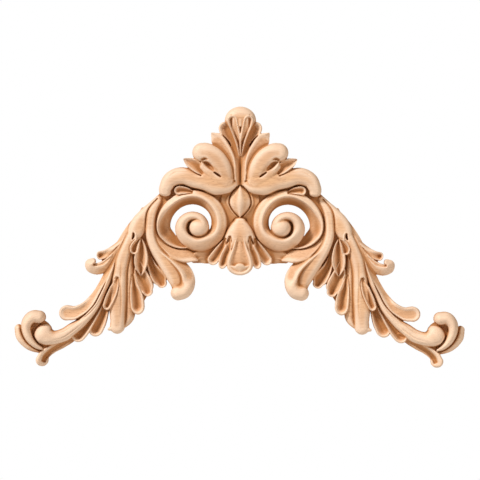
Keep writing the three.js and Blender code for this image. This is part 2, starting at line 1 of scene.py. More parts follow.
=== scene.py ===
# The carved corner applique in bare beech, on its flat back, lit as in a studio.
import math

import bpy
import numpy as np
from mathutils import Matrix, Vector


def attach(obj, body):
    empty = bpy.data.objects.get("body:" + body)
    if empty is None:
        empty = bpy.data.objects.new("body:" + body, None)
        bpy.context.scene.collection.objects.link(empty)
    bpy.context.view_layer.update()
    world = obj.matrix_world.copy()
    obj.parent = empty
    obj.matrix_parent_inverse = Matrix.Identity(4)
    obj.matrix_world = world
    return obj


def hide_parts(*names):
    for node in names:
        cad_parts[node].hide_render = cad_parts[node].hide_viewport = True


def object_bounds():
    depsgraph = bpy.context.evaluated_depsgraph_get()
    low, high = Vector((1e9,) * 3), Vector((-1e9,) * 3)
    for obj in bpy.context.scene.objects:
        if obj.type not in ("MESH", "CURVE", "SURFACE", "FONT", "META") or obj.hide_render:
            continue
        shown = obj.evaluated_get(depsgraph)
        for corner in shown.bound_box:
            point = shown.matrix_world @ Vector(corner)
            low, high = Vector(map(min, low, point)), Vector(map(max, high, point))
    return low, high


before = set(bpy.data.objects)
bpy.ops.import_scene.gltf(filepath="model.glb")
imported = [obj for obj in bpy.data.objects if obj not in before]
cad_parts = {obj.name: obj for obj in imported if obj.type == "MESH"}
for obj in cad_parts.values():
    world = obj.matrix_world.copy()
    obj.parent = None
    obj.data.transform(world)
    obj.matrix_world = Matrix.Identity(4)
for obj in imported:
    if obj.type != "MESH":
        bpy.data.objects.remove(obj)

CAD_LOW, CAD_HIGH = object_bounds()

# The carving is drawn on a sheet. A station on a leaf's path is
# [out from the line of symmetry, up from the bead's middle, half width, height of the crown],
# the first three in sheet units and the last as a share of the relief.
SHEET_REACH = 224.86  # from the line of symmetry to the outermost tip
UNIT = CAD_HIGH.x / SHEET_REACH
RELIEF = -CAD_LOW.y
SHEET_LOW, SHEET_HIGH = -170, 97
ARM_DROP = 1.3  # how much lower the arms hang than they are drawn
ARM_FROM, ARM_TO = 84, 124  # the stretch over which that drop sets in
OVERLAP = 8  # how far the half sheet runs on past the line of symmetry
MARGIN = 4  # how far it runs on past the outermost tip

# How finely the leaves are laid and the surface is made, in sheet units.
SURFACE_CELL = 0.5
LAYING_CELL = SURFACE_CELL / 2
ROWS_PER_SPAN = 10  # from one station of a path to the next
PLACES_PER_SPAN = 8  # from one place of a cross section to the next
ROWS_IN_TIP = 9
POINT_WIDTH = 0.05  # the half width of a leaf's sharp point
CLOSED_WIDTH = 0.02  # the half width where a round end closes
BOSS_HALF = 0.4  # half the length of a boss, without its round ends
SOFTENING = 0.34  # how far the gouge's edge is rounded over
BELL_REACH = 3  # how many times its own width a softening reaches
NO_WOOD = -10.0
WOOD_COVER = 0.5  # a spot is wood where more than this share of it is covered
MOST_TRIANGLES = 190000

# How deep a spot lies is judged over two reaches, in sheet units, each with its own weight. The
# depth that counts in full grows with the reach.
HOLLOW_REACHES = ((1.6, 0.65), (5, 0.55))
FULL_HOLLOW, FULL_HOLLOW_GROWTH = 0.02, 0.009
EDGE_FALL = 0.82  # the height just outside an edge, as a share of the height beside it
BESIDE_CELLS = 3  # how many cells wide that height beside it is taken
LEAST_COVER = 1e-3  # what that height is divided by, at least, where no wood is near

ALMOST_NOTHING = 1e-6  # against dividing by nothing, and for a spot on a triangle's side
ROUNDING = 1e-9  # for a triangle's box that ends on a whole cell
NO_AREA = 1e-12  # a triangle with no more than this is left out

# Cross sections: places across a leaf (-1 right of travel, +1 left of travel) and the height there,
# as a share of the way from the edge's height to the crown's.
EVEN_PLACES = (-1, -0.86, -0.5, 0, 0.5, 0.86, 1)


def section(*shares, places=EVEN_PLACES):
    return list(zip(places, shares))


SECTIONS = {
    "flat": section(0.7, 0.95, 1, 1, 1, 0.95, 0.7),
    "keel": section(0, 0.26, 0.58, 1, 0.58, 0.26, 0),
    "roll": section(0, 0.5, 0.87, 1, 0.87, 0.5, 0),
    "pillow": section(0.02, 0.6, 0.94, 1, 0.94, 0.6, 0.02),
    "bowl": section(0.4, 1, 0.42, 0.08, 0.42, 1, 0.4),
    "wave": section(0.4, 1, 0.62, 0.74, 0.62, 1, 0.4),
    "blade": section(0.25, 0.42, 0.6, 0.8, 1, 0.9, 0.2, places=(-1, -0.8, -0.4, 0.1, 0.6, 0.86, 1)),
    "soft": section(0.1, 0.45, 0.8, 1, 0.8, 0.45, 0.1),
    "scoop": section(0.45, 1, 0.55, 0.25, 0.55, 1, 0.45),
    "shallow": section(0.3, 1, 0.8, 0.68, 0.8, 1, 0.3),
    "leanLeft": section(0, 0.12, 0.3, 0.62, 0.95, 0.9, 0.1,
                        places=(-1, -0.8, -0.4, 0.1, 0.55, 0.85, 1)),
    "leanRight": section(0.1, 0.9, 0.95, 0.62, 0.3, 0.12, 0,
                         places=(-1, -0.85, -0.55, -0.1, 0.4, 0.8, 1)),
    "ringLeft": section(0.1, 0.9, 1, 0.5, 0.12, -0.05, -0.2,
                        places=(-1, -0.9, -0.78, -0.45, 0, 0.6, 1)),
    "ringTop": section(0.15, 0.72, 0.9, 1, 0.55, 0.02, -0.25,
                       places=(-1, -0.86, -0.5, -0.1, 0.12, 0.6, 1)),
    "ringRight": section(0.05, 0.58, 0.82, 1, 0.7, 0.32, 0,
                         places=(-1, -0.88, -0.4, 0.14, 0.38, 0.78, 1)),
    "ringFoot": section(0, 0.36, 0.7, 0.92, 1, 0.75, 0.25,
                        places=(-1, -0.86, -0.4, 0.1, 0.5, 0.86, 1)),
}

# A cleft is the narrow cut that sets a leaf off from the ones under it: its width in sheet units,
# and its floor as a share of the leaf's height.
FINE_CLEFT = (0.6, 0.84)
CAP_CLEFT = (0.6, 0.8)
MIDDLE_LEAF_CLEFT = (0.7, 0.8)
CHEEK_CLEFT = (0.8, 0.74)  # the brow's cheek, and the stem
ROUND_CLEFT = (0.8, 0.7)  # the volute's ring, and the shell's dome
BEAD_CLEFT = (0.7, 0.62)
SCROLL_CLEFT = (1.0, 0.55)
CLEFT_LIP = 0.12  # how much higher than its floor a cleft's outer sides are
CLEFT_END = 0.3  # how wide a cleft is past a leaf's end, as a share of its width
NARROW_END = 1  # a leaf's end with a smaller half width has a cleft around it

SLIT_FLOOR = 0.35  # how much of a slit's half width is flat
SLIT_TOP = 1.15  # the height of a slit's sides, which is above every leaf


def leaf(shape, edge, path, tip=0, root=0, cleft=None, centre=None):
    """One leaf. Edge is the edge's height as a share of the crown's, or the right and the left
    edge's. Tip and root are the stretch of a round end, or 0."""
    return {
        "work": "leaf", "shape": shape, "edge": edge, "path": path, "tip": tip, "root": root,
        "cleft": cleft, "centre": centre,
    }


def gouge(*path):
    """A smooth groove taken out of what is there. Here the last number is the groove's depth."""
    return {**leaf("flat", 1, list(path)), "work": "gouge"}


def slit(*path):
    """A narrow cut with steep sides. Here the last number is the height of its floor."""
    return {**leaf("flat", 1, list(path)), "work": "slit"}


def boss(out, up, radius, height, shape="roll", edge=0.6, cleft=None):
    """A round boss: a very short leaf with two round ends."""
    path = [[out + BOSS_HALF, up, radius, height], [out - BOSS_HALF, up, radius, height]]
    return leaf(shape, edge, path, tip=1, root=1, cleft=cleft)


def grounds():
    """Low ground that ties the leaves together behind the gaps between them."""
    return [
        leaf("flat", 0.9, [[0, 70, 8, 0.6], [0, 48, 6, 0.55], [0, 30, 7, 0.52], [0, 13, 15, 0.56],
             [0, 3, 19, 0.57], [0, -8, 19, 0.56], [0, -18, 16, 0.54], [0, -30, 18, 0.5],
             [0, -44, 18, 0.46]]),
        leaf("flat", 0.92, [[8, 12, 7, 0.46], [22, 8, 7, 0.46], [40, 10, 6, 0.46], [58, 6, 8, 0.46],
             [70, 2, 9, 0.46], [79, -3, 8, 0.44], [85, -16, 7.5, 0.44], [86, -30, 7, 0.44],
             [80, -44, 7, 0.44], [68, -52, 7, 0.42], [52, -54, 6, 0.4], [36, -50, 7, 0.4],
             [22, -42, 8, 0.4]]),
        leaf("flat", 0.95, [[46, -28, 12.5, 0.42], [44, -27, 12.5, 0.42]], tip=1, root=1),
        leaf("flat", 0.92, [[92, -8, 6, 0.42], [97, -26, 10, 0.42], [102, -52, 14, 0.38],
             [106, -78, 15, 0.34], [112, -104, 9, 0.3]]),
        leaf("flat", 0.92, [[86, -44, 4, 0.36], [88, -60, 7, 0.36], [92, -72, 9, 0.34],
             [98, -88, 8, 0.32], [104, -102, 6, 0.3]]),
        leaf("flat", 0.92, [[112, -44, 5, 0.36], [121, -62, 6, 0.36], [129, -78, 7, 0.34],
             [137, -96, 7, 0.32], [147, -111, 7, 0.3], [160, -124, 6.5, 0.3], [176, -134, 6, 0.3],
             [190, -142, 8, 0.3]]),
        leaf("flat", 0.92, [[112, -40, 5, 0.4], [128, -55, 5, 0.4], [137, -59.5, 3, 0.38]]),
        leaf("flat", 0.92, [[2, 40, 7, 0.56], [14, 50, 7, 0.56], [22, 54, 5, 0.56]]),
        leaf("flat", 0.92, [[14, 6, 7, 0.48], [26, 4, 6, 0.48]]),
        leaf("flat", 0.92, [[48, 14, 5, 0.48], [60, 15, 5, 0.48], [68, 11, 5, 0.48]]),
    ]


def skirt_leaf():
    """The low leaf between the shell and the hook."""
    return [
        leaf("leanLeft", (0.6, 0.75), [[16, -38, 3, 0.48], [24, -48, 7, 0.5], [31.5, -53.4, 9, 0.5],
             [39.6, -55.4, 7, 0.49], [46.6, -57.4, 5, 0.47]], tip=0.6),
    ]


def far_end_back():
    """What lies lowest at the far end: two round grounds, the leaf behind the scroll, the foot with
    its groove, and the two flutes."""
    return [
        boss(200, -130, 12, 0.4, "flat", 1),
        boss(197, -144, 6, 0.36, "flat", 1),
        leaf("soft", (0.7, 0.7), [[194, -149, 1.8, 0.38], [203, -147.4, 3.2, 0.40],
             [211.2, -143, 4.2, 0.44], [218.4, -135, 4.5, 0.47], [220.6, -126.4, 3.8, 0.47]],
             tip=1),
        leaf("leanLeft", (0.5, 0.8), [[158, -131, 1.5, 0.38], [168, -136.6, 4.0, 0.42],
             [178, -142, 4.8, 0.43], [187, -147, 4.6, 0.44], [194.6, -152.8, 5.2, 0.46],
             [197, -158.2, 6.2, 0.47]], tip=1),
        gouge([168, -137.4, 0.8, 0.02], [179, -143.4, 2.4, 0.07], [188, -148.6, 3, 0.1],
              [194, -155, 3.2, 0.13], [196, -160, 2.6, 0.13]),
        leaf("bowl", 0.6, [[131, -92, 1, 0.46], [134, -105, 4.0, 0.46], [138.8, -118, 6.4, 0.46],
             [143.2, -126.8, 7.2, 0.44]], tip=1.1),
        leaf("bowl", 0.6, [[133, -90, 1, 0.5], [140, -103, 3.8, 0.5], [148.4, -115.5, 5.8, 0.5],
             [156, -127, 6.9, 0.49], [160.4, -132.8, 6.9, 0.47]], tip=1.1, cleft=FINE_CLEFT),
    ]


def arm_curls():
    """The two small curls on the outer side of the arm."""
    return [
        leaf(["soft", "soft", "shallow", "bowl"], 0.66, [[112, -34, 2.4, 0.5],
             [124, -45.5, 3.4, 0.5], [133, -51.8, 4.2, 0.5], [139.4, -53.6, 4.4, 0.49]], tip=0.8),
        leaf("blade", (0.55, 0.7), [[120, -46, 2.0, 0.52], [127, -56.5, 4.4, 0.54],
             [133.6, -63.6, 5.8, 0.56], [141.6, -66.9, 5.8, 0.58], [148.2, -65.6, 5.2, 0.6],
             [150, -61.6, 4.2, 0.62], [147, -59.4, 3.2, 0.62]], tip=1, cleft=FINE_CLEFT),
        gouge([128, -54.5, 0.6, 0.03], [136, -61, 1.8, 0.07], [142.6, -63, 1.6, 0.08],
              [146.2, -62.6, 1.4, 0.14]),
    ]


def leaflets():
    """What hangs from the inner side of the arm, in the order in which it is laid: four hollowed
    leaflets and, between them, one long plain leaf."""
    return [
        leaf("bowl", 0.62, [[90.5, -54, 1.5, 0.5], [87.6, -65, 4.8, 0.52], [83, -73.6, 6.9, 0.53],
             [79.6, -78.8, 7.2, 0.52], [77.6, -82.8, 4.8, 0.51]], tip=0.9, cleft=FINE_CLEFT),
        leaf("bowl", 0.6, [[101, -60, 2, 0.54], [99.6, -70, 6.2, 0.56], [96.6, -79.6, 8.4, 0.57],
             [93.4, -86.6, 7.9, 0.56], [91.8, -90.8, 5, 0.55]], tip=0.9, cleft=FINE_CLEFT),
        leaf("soft", 0.66, [[107.4, -50, 1.5, 0.5], [109.6, -64, 4.0, 0.53],
             [110, -81.5, 4.6, 0.52], [110.4, -94, 4.6, 0.5], [110, -106, 5.2, 0.48],
             [110.2, -114.5, 5.2, 0.46], [112.4, -120.6, 3.6, 0.44], [114.8, -125.6, 0.8, 0.42]],
             cleft=FINE_CLEFT),
        leaf("bowl", (0.62, 0.66), [[106.8, -72, 0.8, 0.52], [105, -84, 4.0, 0.55],
             [102.8, -95, 6.6, 0.56], [101.8, -104.4, 6.8, 0.55]], tip=1.3, cleft=FINE_CLEFT),
        leaf("bowl", 0.66, [[98.4, -37, 0.6, 0.64], [97.8, -45, 4.2, 0.67], [98.2, -55, 6.9, 0.69],
             [98.6, -63.5, 6.5, 0.67], [98.5, -69.5, 4.0, 0.64], [98.5, -74.6, 0.4, 0.6]],
             cleft=FINE_CLEFT),
    ]


def frond_and_stem():
    """The long frond along the outer side of the arm, the stem that carries the far end and turns
    up into its head, two fine grooves on the stem, and the fine ridge beside the frond."""
    return [
        leaf(["leanRight"] * 8 + ["shallow"] * 3, (0.75, 0.64), [[95, -8.5, 2.4, 0.57],
             [103.6, -20.8, 4.6, 0.61], [111.6, -31.8, 5.0, 0.62], [118.7, -42.5, 4.2, 0.61],
             [125, -58.5, 3.6, 0.58], [131.7, -72, 3.8, 0.58], [137.9, -84.7, 4.2, 0.58],
             [144.6, -95.5, 4.8, 0.59], [153.6, -105.2, 5.5, 0.59], [163.8, -110.8, 6.6, 0.59],
             [172.4, -111, 7.6, 0.58]], tip=1, cleft=FINE_CLEFT),
        leaf("roll", 0.62, [[125, -66, 1.2, 0.52], [130.6, -80, 2.0, 0.55],
             [136.8, -93.4, 2.6, 0.56], [141.8, -103.4, 2.8, 0.57], [148.6, -112.4, 3.4, 0.59],
             [157.6, -120.6, 5.0, 0.6], [166.5, -127, 6.2, 0.61], [174.5, -132.6, 6.6, 0.61],
             [184, -135.6, 6.7, 0.64], [190.6, -135, 8.8, 0.68], [195.6, -132.2, 10.9, 0.7]],
             tip=0.85, cleft=CHEEK_CLEFT),
        gouge([156, -120.6, 0.3, 0.01], [165, -128, 0.8, 0.025], [176, -135.5, 0.8, 0.02],
              [188, -138.5, 0.3, 0.01]),
        gouge([160, -118.4, 0.3, 0.01], [169, -125.2, 0.7, 0.02], [176, -129.4, 0.7, 0.02],
              [186, -131.5, 0.3, 0.01]),
        leaf("roll", 0.6, [[112.5, -37, 0.5, 0.58], [118, -48.4, 1.1, 0.61],
             [123, -57.5, 1.3, 0.62], [127.6, -68.6, 1.4, 0.62], [134.2, -84.9, 1.5, 0.61],
             [139.6, -95.9, 1.5, 0.6], [144, -103.4, 1.4, 0.6], [151.6, -111.6, 1.2, 0.6],
             [158.6, -117.4, 0.5, 0.59]]),
    ]


def end_scroll():
    """The fat scroll that curls over the head at the far end."""
    return [
        leaf("roll", 0.6, [[196.4, -147.2, 1.4, 0.52], [203, -143.6, 3.0, 0.6],
             [209, -137, 4.2, 0.67], [212.4, -128.4, 4.9, 0.72], [211.6, -120.8, 5.7, 0.75],
             [206.6, -115.4, 6.4, 0.77], [200, -115.4, 6.4, 0.77]], tip=1, cleft=SCROLL_CLEFT),
    ]


def middle_leaf():
    """The broad leaf down the middle of the arm with a small tongue at its foot, the shoulder that
    it grows from, and two leaflets, a fine ridge and two slits that lie on them."""
    return [
        leaf("pillow", 0.72, [[106.5, -30, 4.4, 0.6], [112, -44, 5.6, 0.62],
             [116.4, -56.5, 6.6, 0.63], [119, -69, 6.8, 0.63], [120.2, -81.5, 7.6, 0.63],
             [121, -94, 8.2, 0.62], [121.8, -106.5, 8.2, 0.6], [121.6, -117.6, 7.4, 0.58],
             [122, -124.6, 7.2, 0.56]], tip=1.0, cleft=MIDDLE_LEAF_CLEFT),
        gouge([118, -60, 0.3, 0.01], [118.8, -80, 0.9, 0.02], [118.2, -100, 0.9, 0.02],
              [119, -116, 0.3, 0.01]),
        leaf("roll", 0.8, [[121, -124.6, 2.4, 0.52], [127, -126.2, 2.6, 0.52],
             [130, -127, 1.6, 0.5]], tip=1),
        leaf("pillow", 0.74, [[79, 4, 3, 0.5], [86, -4.4, 4.8, 0.56], [93.6, -13.4, 7, 0.6],
             [99.6, -22, 8.6, 0.62], [103.6, -29.8, 8.4, 0.63], [106.8, -38, 5.6, 0.62],
             [110, -47, 1.6, 0.6]]),
        leaf("bowl", 0.7, [[99.4, -37.4, 0.6, 0.65], [103, -41.6, 3.4, 0.68],
             [105, -46.4, 4.6, 0.69], [105.2, -49, 4.2, 0.68]], tip=0.95, cleft=FINE_CLEFT),
        leaf("roll", 0.7, [[105.2, -29.6, 0.5, 0.64], [103.4, -33.6, 1.0, 0.67],
             [103.6, -38, 1.0, 0.66], [105.6, -41, 0.4, 0.64]]),
        slit([106.2, -31.4, 0.9, 0.46], [106, -34.6, 1.7, 0.42], [107.2, -38, 0.8, 0.46]),
        leaf("bowl", 0.7, [[121.8, -75, 0.8, 0.62], [123.6, -81, 3.4, 0.66],
             [126.3, -89.4, 4.7, 0.68], [129.7, -97.6, 4.8, 0.68], [132.1, -103.4, 3.9, 0.66]],
             tip=1.2, cleft=FINE_CLEFT),
        slit([126, -77.6, 0.7, 0.54], [126.9, -80.6, 1.3, 0.5], [128.4, -84.4, 0.6, 0.54]),
    ]


def hook():
    """The leaf that wraps the outer side of the volute, the hook's broad back, and the roll along
    its inner side that ends in a knob."""
    return [
        leaf("leanLeft", (0.72, 0.8), [[84, -22, 1.2, 0.58], [83, -36, 4.4, 0.62],
             [76, -46.4, 6.6, 0.65], [66.5, -51.4, 7.6, 0.66], [57.5, -54.2, 7.6, 0.65],
             [50, -56.2, 5.8, 0.63], [45.6, -57.8, 3.2, 0.61], [41.8, -59.4, 0.6, 0.58]]),
        leaf("pillow", 0.72, [[80, 1, 2.5, 0.52], [87.4, -11, 4.8, 0.6], [89.4, -24, 4.9, 0.64],
             [88.8, -36, 4.9, 0.66], [84.4, -48, 5.4, 0.67], [76, -60, 6.8, 0.67],
             [68.2, -70.5, 7.9, 0.67], [63.4, -79, 7.6, 0.65], [61.8, -87, 5.4, 0.62]],
             cleft=FINE_CLEFT),
        leaf(["leanLeft"] * 5 + ["roll"] * 3, (0.62, 0.7), [[84, -45.4, 0.6, 0.64],
             [75, -52, 3.0, 0.69], [64.6, -59.6, 4.6, 0.73], [56.2, -67.6, 5.8, 0.76],
             [51.8, -76, 6.4, 0.78], [51.8, -84, 6.8, 0.79], [55.5, -90, 7.3, 0.79],
             [61.4, -92, 7.4, 0.78]], tip=1),
    ]


def volute():
    """The open ring that winds into a coil, and its eye. Here a station is
    [angle in degrees, distance from the volute's centre, half width, height]."""
    shapes = (["ringLeft"] * 5 + ["ringTop"] * 2 + ["ringRight"] * 2 + ["ringFoot"] * 3
              + ["roll"] * 5)
    return [
        leaf(shapes, 0.6, [[-84, 17.6, 2.6, 0.52], [-64, 20.4, 3.4, 0.57], [-44, 24, 4.8, 0.61],
             [-21, 28.2, 6.7, 0.64], [0, 31.5, 6.9, 0.66], [45, 30.9, 7, 0.70],
             [90, 29.6, 7.4, 0.74], [135, 27.4, 7.7, 0.76], [180, 24, 8, 0.77],
             [225, 20.3, 7.8, 0.76], [270, 17, 7, 0.74], [315, 15, 6.2, 0.75], [360, 13.5, 6, 0.77],
             [405, 12.1, 4.9, 0.79], [450, 10.5, 4.4, 0.81], [490, 9.6, 4.6, 0.82],
             [525, 9.2, 4.8, 0.82]], centre=(45, -26), cleft=ROUND_CLEFT),
        boss(40.8, -26.7, 9.7, 0.87, edge=0.66),
    ]


def crown_side_leaves():
    """Beside the line of symmetry: the hollow band that widens into a petal, the pointed leaf
    between it and the brow, and a slit in the band and one on the line itself."""
    return [
        leaf(["leanRight"] * 3 + ["scoop"] * 3, (0.85, 0.72), [[2.6, 14, 3.4, 0.77],
             [2.6, 26, 3.8, 0.78], [3.4, 38, 4.4, 0.77], [6.6, 52, 5.8, 0.76], [11.8, 64, 7, 0.76],
             [15, 72, 6.6, 0.76]], tip=1),
        leaf("blade", (0.86, 0.8), [[8.8, 13, 0.5, 0.74], [7.8, 20, 1.3, 0.78],
             [7.2, 27, 2.0, 0.78], [6.9, 33, 2.8, 0.78], [8.8, 41.5, 3.7, 0.79],
             [12.6, 49, 4.7, 0.8], [17.2, 55.2, 5.8, 0.8], [21.4, 59.8, 6.8, 0.79],
             [24, 62.4, 6.3, 0.79], [28.8, 67.6, 0.4, 0.78]]),
        slit([9.4, 54.2, 0.7, 0.48], [11, 57.4, 1.0, 0.46], [13.8, 61.2, 0.6, 0.52],
             [17.6, 65, 0.4, 0.6]),
        slit([0, 44, 0.4, 0.6], [0, 36, 0.8, 0.56], [0, 22, 0.8, 0.56], [0, 17, 0.4, 0.6]),
    ]


def brow():
    """The brow over the volute: one broad cheek that swells into a lower and an upper lobe, a
    pointed leaf between the lobes, a small one under the lower lobe, and the cuts on the cheek."""
    cheek = [[3.8, 16.8, 2.6, 0.74], [8, 15.8, 6.4, 0.8], [14, 15.6, 9.3, 0.85],
             [24, 17.4, 12.0, 0.88], [35, 19.8, 10, 0.87]]
    lower_lobe = [[46, 21.6, 9, 0.84], [55, 24.2, 8.7, 0.83], [62.8, 23.8, 8.6, 0.82],
                  [70, 19.8, 7.8, 0.8], [74.2, 12.4, 6.5, 0.77], [74.6, 8, 6, 0.74]]
    return [
        leaf("pillow", 0.72, cheek + lower_lobe, tip=0.7, cleft=CHEEK_CLEFT),
        leaf("flat", 0.95, [[4.6, 18, 2.4, 0.71], [5.8, 23, 2.6, 0.73], [6.4, 30, 2.2, 0.73]]),
        leaf("bowl", 0.84, [[36, 28.6, 4.6, 0.82], [41, 32, 5.7, 0.85], [46, 35.6, 5.9, 0.85],
             [51.6, 38.6, 4.4, 0.83], [56.6, 41.4, 0.6, 0.8]], cleft=FINE_CLEFT),
        leaf("pillow", 0.74, [[14, 12.6, 6.5, 0.78], [14.6, 22.4, 8.4, 0.88], [18, 33.6, 9.3, 0.96],
             [24.6, 42.4, 9.9, 0.99], [33, 47.2, 9.9, 1.0], [38.2, 47.8, 9.6, 0.99]],
             tip=1, cleft=FINE_CLEFT),
        leaf("pillow", 0.72, cheek),
        leaf("pillow", 0.84, [[8.6, 16.4, 6, 0.82], [14, 19, 8, 0.88], [22, 23.6, 8.4, 0.9],
             [30, 29.6, 7, 0.9], [35.6, 34.4, 5.2, 0.88]], tip=1),
        leaf("bowl", 0.8, [[47, 8.6, 1, 0.68], [53.4, 10, 3.4, 0.72], [59.6, 10.4, 4.4, 0.74],
             [61.4, 10, 4.4, 0.74]], tip=1, cleft=FINE_CLEFT),
        gouge([52, 28.4, 0.4, 0.01], [60, 29, 0.8, 0.02], [66.4, 27.2, 0.9, 0.03],
              [71.4, 23, 0.4, 0.01]),
        gouge([26, 29.4, 0.8, 0.03], [29, 32.4, 2.4, 0.1], [32.6, 36, 2.8, 0.13],
              [35.8, 38.6, 1.6, 0.08]),
        gouge([32, 40.8, 0.6, 0.04], [35.4, 41.6, 1.5, 0.1], [39, 40.4, 1.2, 0.07]),
        leaf("roll", 0.82, [[26.4, 27.2, 0.5, 0.87], [31, 29.4, 1.0, 0.9], [35.4, 32.6, 1.1, 0.91],
             [37.8, 36.4, 1.0, 0.91], [38.4, 39.6, 0.5, 0.89]]),
        slit([19.2, 23.6, 0.7, 0.74], [22.4, 25.8, 1.3, 0.72], [26.2, 28.4, 0.7, 0.74]),
    ]


def crown():
    """The crown on the line of symmetry: a round cap, two long hollowed petals that meet in a point
    below it, and a ridge with a slit between them."""
    return [
        leaf("pillow", 0.72, [[0, 60, 3, 0.76], [0, 68, 8, 0.8], [0, 74.5, 13.4, 0.84],
             [0, 79.8, 15.6, 0.86]], tip=0.89, cleft=CAP_CLEFT),
        leaf("bowl", 0.76, [[0.5, 44.6, 0.7, 0.8], [1.9, 57, 2.4, 0.86], [4.6, 67.5, 3.6, 0.88],
             [6.5, 73.8, 4.5, 0.9], [8.1, 80, 4.9, 0.91]], tip=1.0, cleft=FINE_CLEFT),
        leaf("soft", 0.85, [[0, 56.5, 0.3, 0.8], [0, 64, 1.2, 0.84], [0, 72, 2.7, 0.87],
             [0, 80, 4.4, 0.88]], tip=1),
        slit([0, 73.6, 1.7, 0.75], [0, 70.4, 1.2, 0.75], [0, 66.6, 0.3, 0.78]),
    ]


def bead():
    """The pointed bead in its hollowed frame."""
    return [
        leaf("bowl", 0.78, [[0, 18, 0.5, 0.56], [0, 11, 9.6, 0.6], [0, 0, 14.4, 0.62],
             [0, -9, 10.6, 0.6], [0, -17.6, 2.4, 0.56]]),
        leaf("keel", 0.8, [[0, 15.6, 0.4, 0.66], [0, 9, 7.4, 0.76], [0, -1, 10.5, 0.81],
             [0, -9, 7.5, 0.76], [0, -16.6, 0.5, 0.66]], cleft=BEAD_CLEFT),
    ]


def shell():
    """The shell below the bead: a dome that opens into five flutes, and a lip on the middle one."""
    return [
        leaf("pillow", 0.72, [[0, -19.6, 6, 0.68], [0, -23.4, 9.2, 0.73], [0, -30, 13.3, 0.79],
             [0, -38, 16, 0.8], [0, -46, 17, 0.74], [0, -53, 16, 0.64]], root=0.5,
             cleft=ROUND_CLEFT),
        leaf("bowl", 0.76, [[14.6, -37, 0.6, 0.64], [18, -45, 3.6, 0.67], [22.8, -53, 5.1, 0.67],
             [26.6, -58.6, 5.4, 0.64]], tip=1.05, cleft=FINE_CLEFT),
        leaf("bowl", 0.78, [[10, -35, 0.5, 0.77], [11.4, -46, 3.4, 0.78], [15, -55, 4.4, 0.77],
             [16.8, -61.6, 4.4, 0.74]], tip=1.45, cleft=FINE_CLEFT),
        gouge([0, -30, 0.5, 0], [0, -38, 4, 0.02], [0, -46, 7, 0.08], [0, -56, 10, 0.14]),
        gouge([3, -31, 0.4, 0], [3.8, -38, 1.4, 0.03], [5, -46, 2.4, 0.06], [6.4, -56, 3, 0.06]),
        leaf("wave", 0.74, [[0, -36, 3.6, 0.8], [0, -41, 5.4, 0.82], [0, -47, 7.6, 0.83],
             [0, -54, 10.6, 0.84], [0, -60, 12.8, 0.83], [0, -64, 13.1, 0.81]], tip=0.78),
        leaf("blade", 0.76, [[-9, -66.8, 3.0, 0.8], [-5, -68.4, 4.4, 0.83], [0, -67.9, 6.1, 0.87],
             [5, -68.4, 4.4, 0.83], [9, -66.8, 3.0, 0.8]], tip=0.9, root=0.9),
        slit([11.6, -37.4, 0.7, 0.6], [12.4, -41, 1.0, 0.56], [13.4, -44, 0.6, 0.6]),
    ]


def smooth_rows(stations, steps):
    """The smooth curve through rows of numbers, with so many steps from each row to the next."""
    ends = np.vstack([2 * stations[0] - stations[1], stations, 2 * stations[-1] - stations[-2]])
    t = np.linspace(0, 1, steps, endpoint=False)[:, None]
    rows = []
    for a, b, c, d in zip(ends, ends[1:], ends[2:], ends[3:]):
        rows.append(0.5 * (2 * b + (c - a) * t + (2 * a - 5 * b + 4 * c - d) * t ** 2
                           + (3 * b - a - 3 * c + d) * t ** 3))
    rows.append(stations[-1:])
    return np.vstack(rows)


def round_end(row, sense, stretch):
    """Rows that close a leaf with a round end. The section is turned about the end's middle, so
    that a crown ends in a dome and a rim runs on around the tip."""
    point, travel, width, height, places, shares = row
    rows = []
    for angle in np.linspace(0, math.pi / 2, ROWS_IN_TIP + 1)[1:]:
        across = places * math.cos(angle)
        radius = np.clip(np.hypot(across, math.sin(angle)), ALMOST_NOTHING, 1)
        left = 0.5 * (1 + across / radius)
        share = ((1 - left) * np.interp(-radius, places, shares)
                 + left * np.interp(radius, places, shares))
        reach = sense * stretch * width * math.sin(angle)
        narrow = max(width * math.cos(angle), CLOSED_WIDTH)
        rows.append((point + reach * travel, travel, narrow, height, places, share))
    return rows


def rows_of(shape):
    """All rows of a leaf: middle point, direction of travel, half width, height, and the places
    across it with their shares."""
    path = np.array(shape["path"], float)
    names = shape["shape"]
    if isinstance(names, str):
        names = [names] * len(path)
    sections = np.array([SECTIONS[name] for name in names], float)
    blended = smooth_rows(np.hstack([path, sections.reshape(len(path), -1)]), ROWS_PER_SPAN)
    points = blended[:, :2]
    if shape["centre"]:
        angles = np.radians(blended[:, 0])
        away = np.stack([np.cos(angles), np.sin(angles)], 1)
        points = np.array(shape["centre"]) + away * blended[:, 1:2]
    on_arm = np.clip((points[:, 0] - ARM_FROM) / (ARM_TO - ARM_FROM), 0, 1)
    points = points - np.stack([0 * on_arm, ARM_DROP * on_arm], 1)
    travels = np.gradient(points, axis=0)
    travels /= np.linalg.norm(travels, axis=1, keepdims=True)
    rows = []
    for point, travel, station in zip(points, travels, blended):
        across = smooth_rows(station[4:].reshape(-1, 2), PLACES_PER_SPAN)
        width = max(station[2], POINT_WIDTH)
        rows.append((point, travel, width, station[3], across[:, 0], across[:, 1]))
    if shape["root"]:
        rows = round_end(rows[0], -1, shape["root"])[::-1] + rows
    if shape["tip"]:
        rows = rows + round_end(rows[-1], 1, shape["tip"])
    return rows


def spread(rows, widening=0):
    """Where the rows' places lie on the sheet."""
    points, travels, widths, _, places, _ = (np.array(part) for part in zip(*rows))
    across = np.stack([-travels[:, 1], travels[:, 0]], 1)
    reach = places * (widths[:, None] + widening)
    return points[:, None] + across[:, None] * reach[..., None]


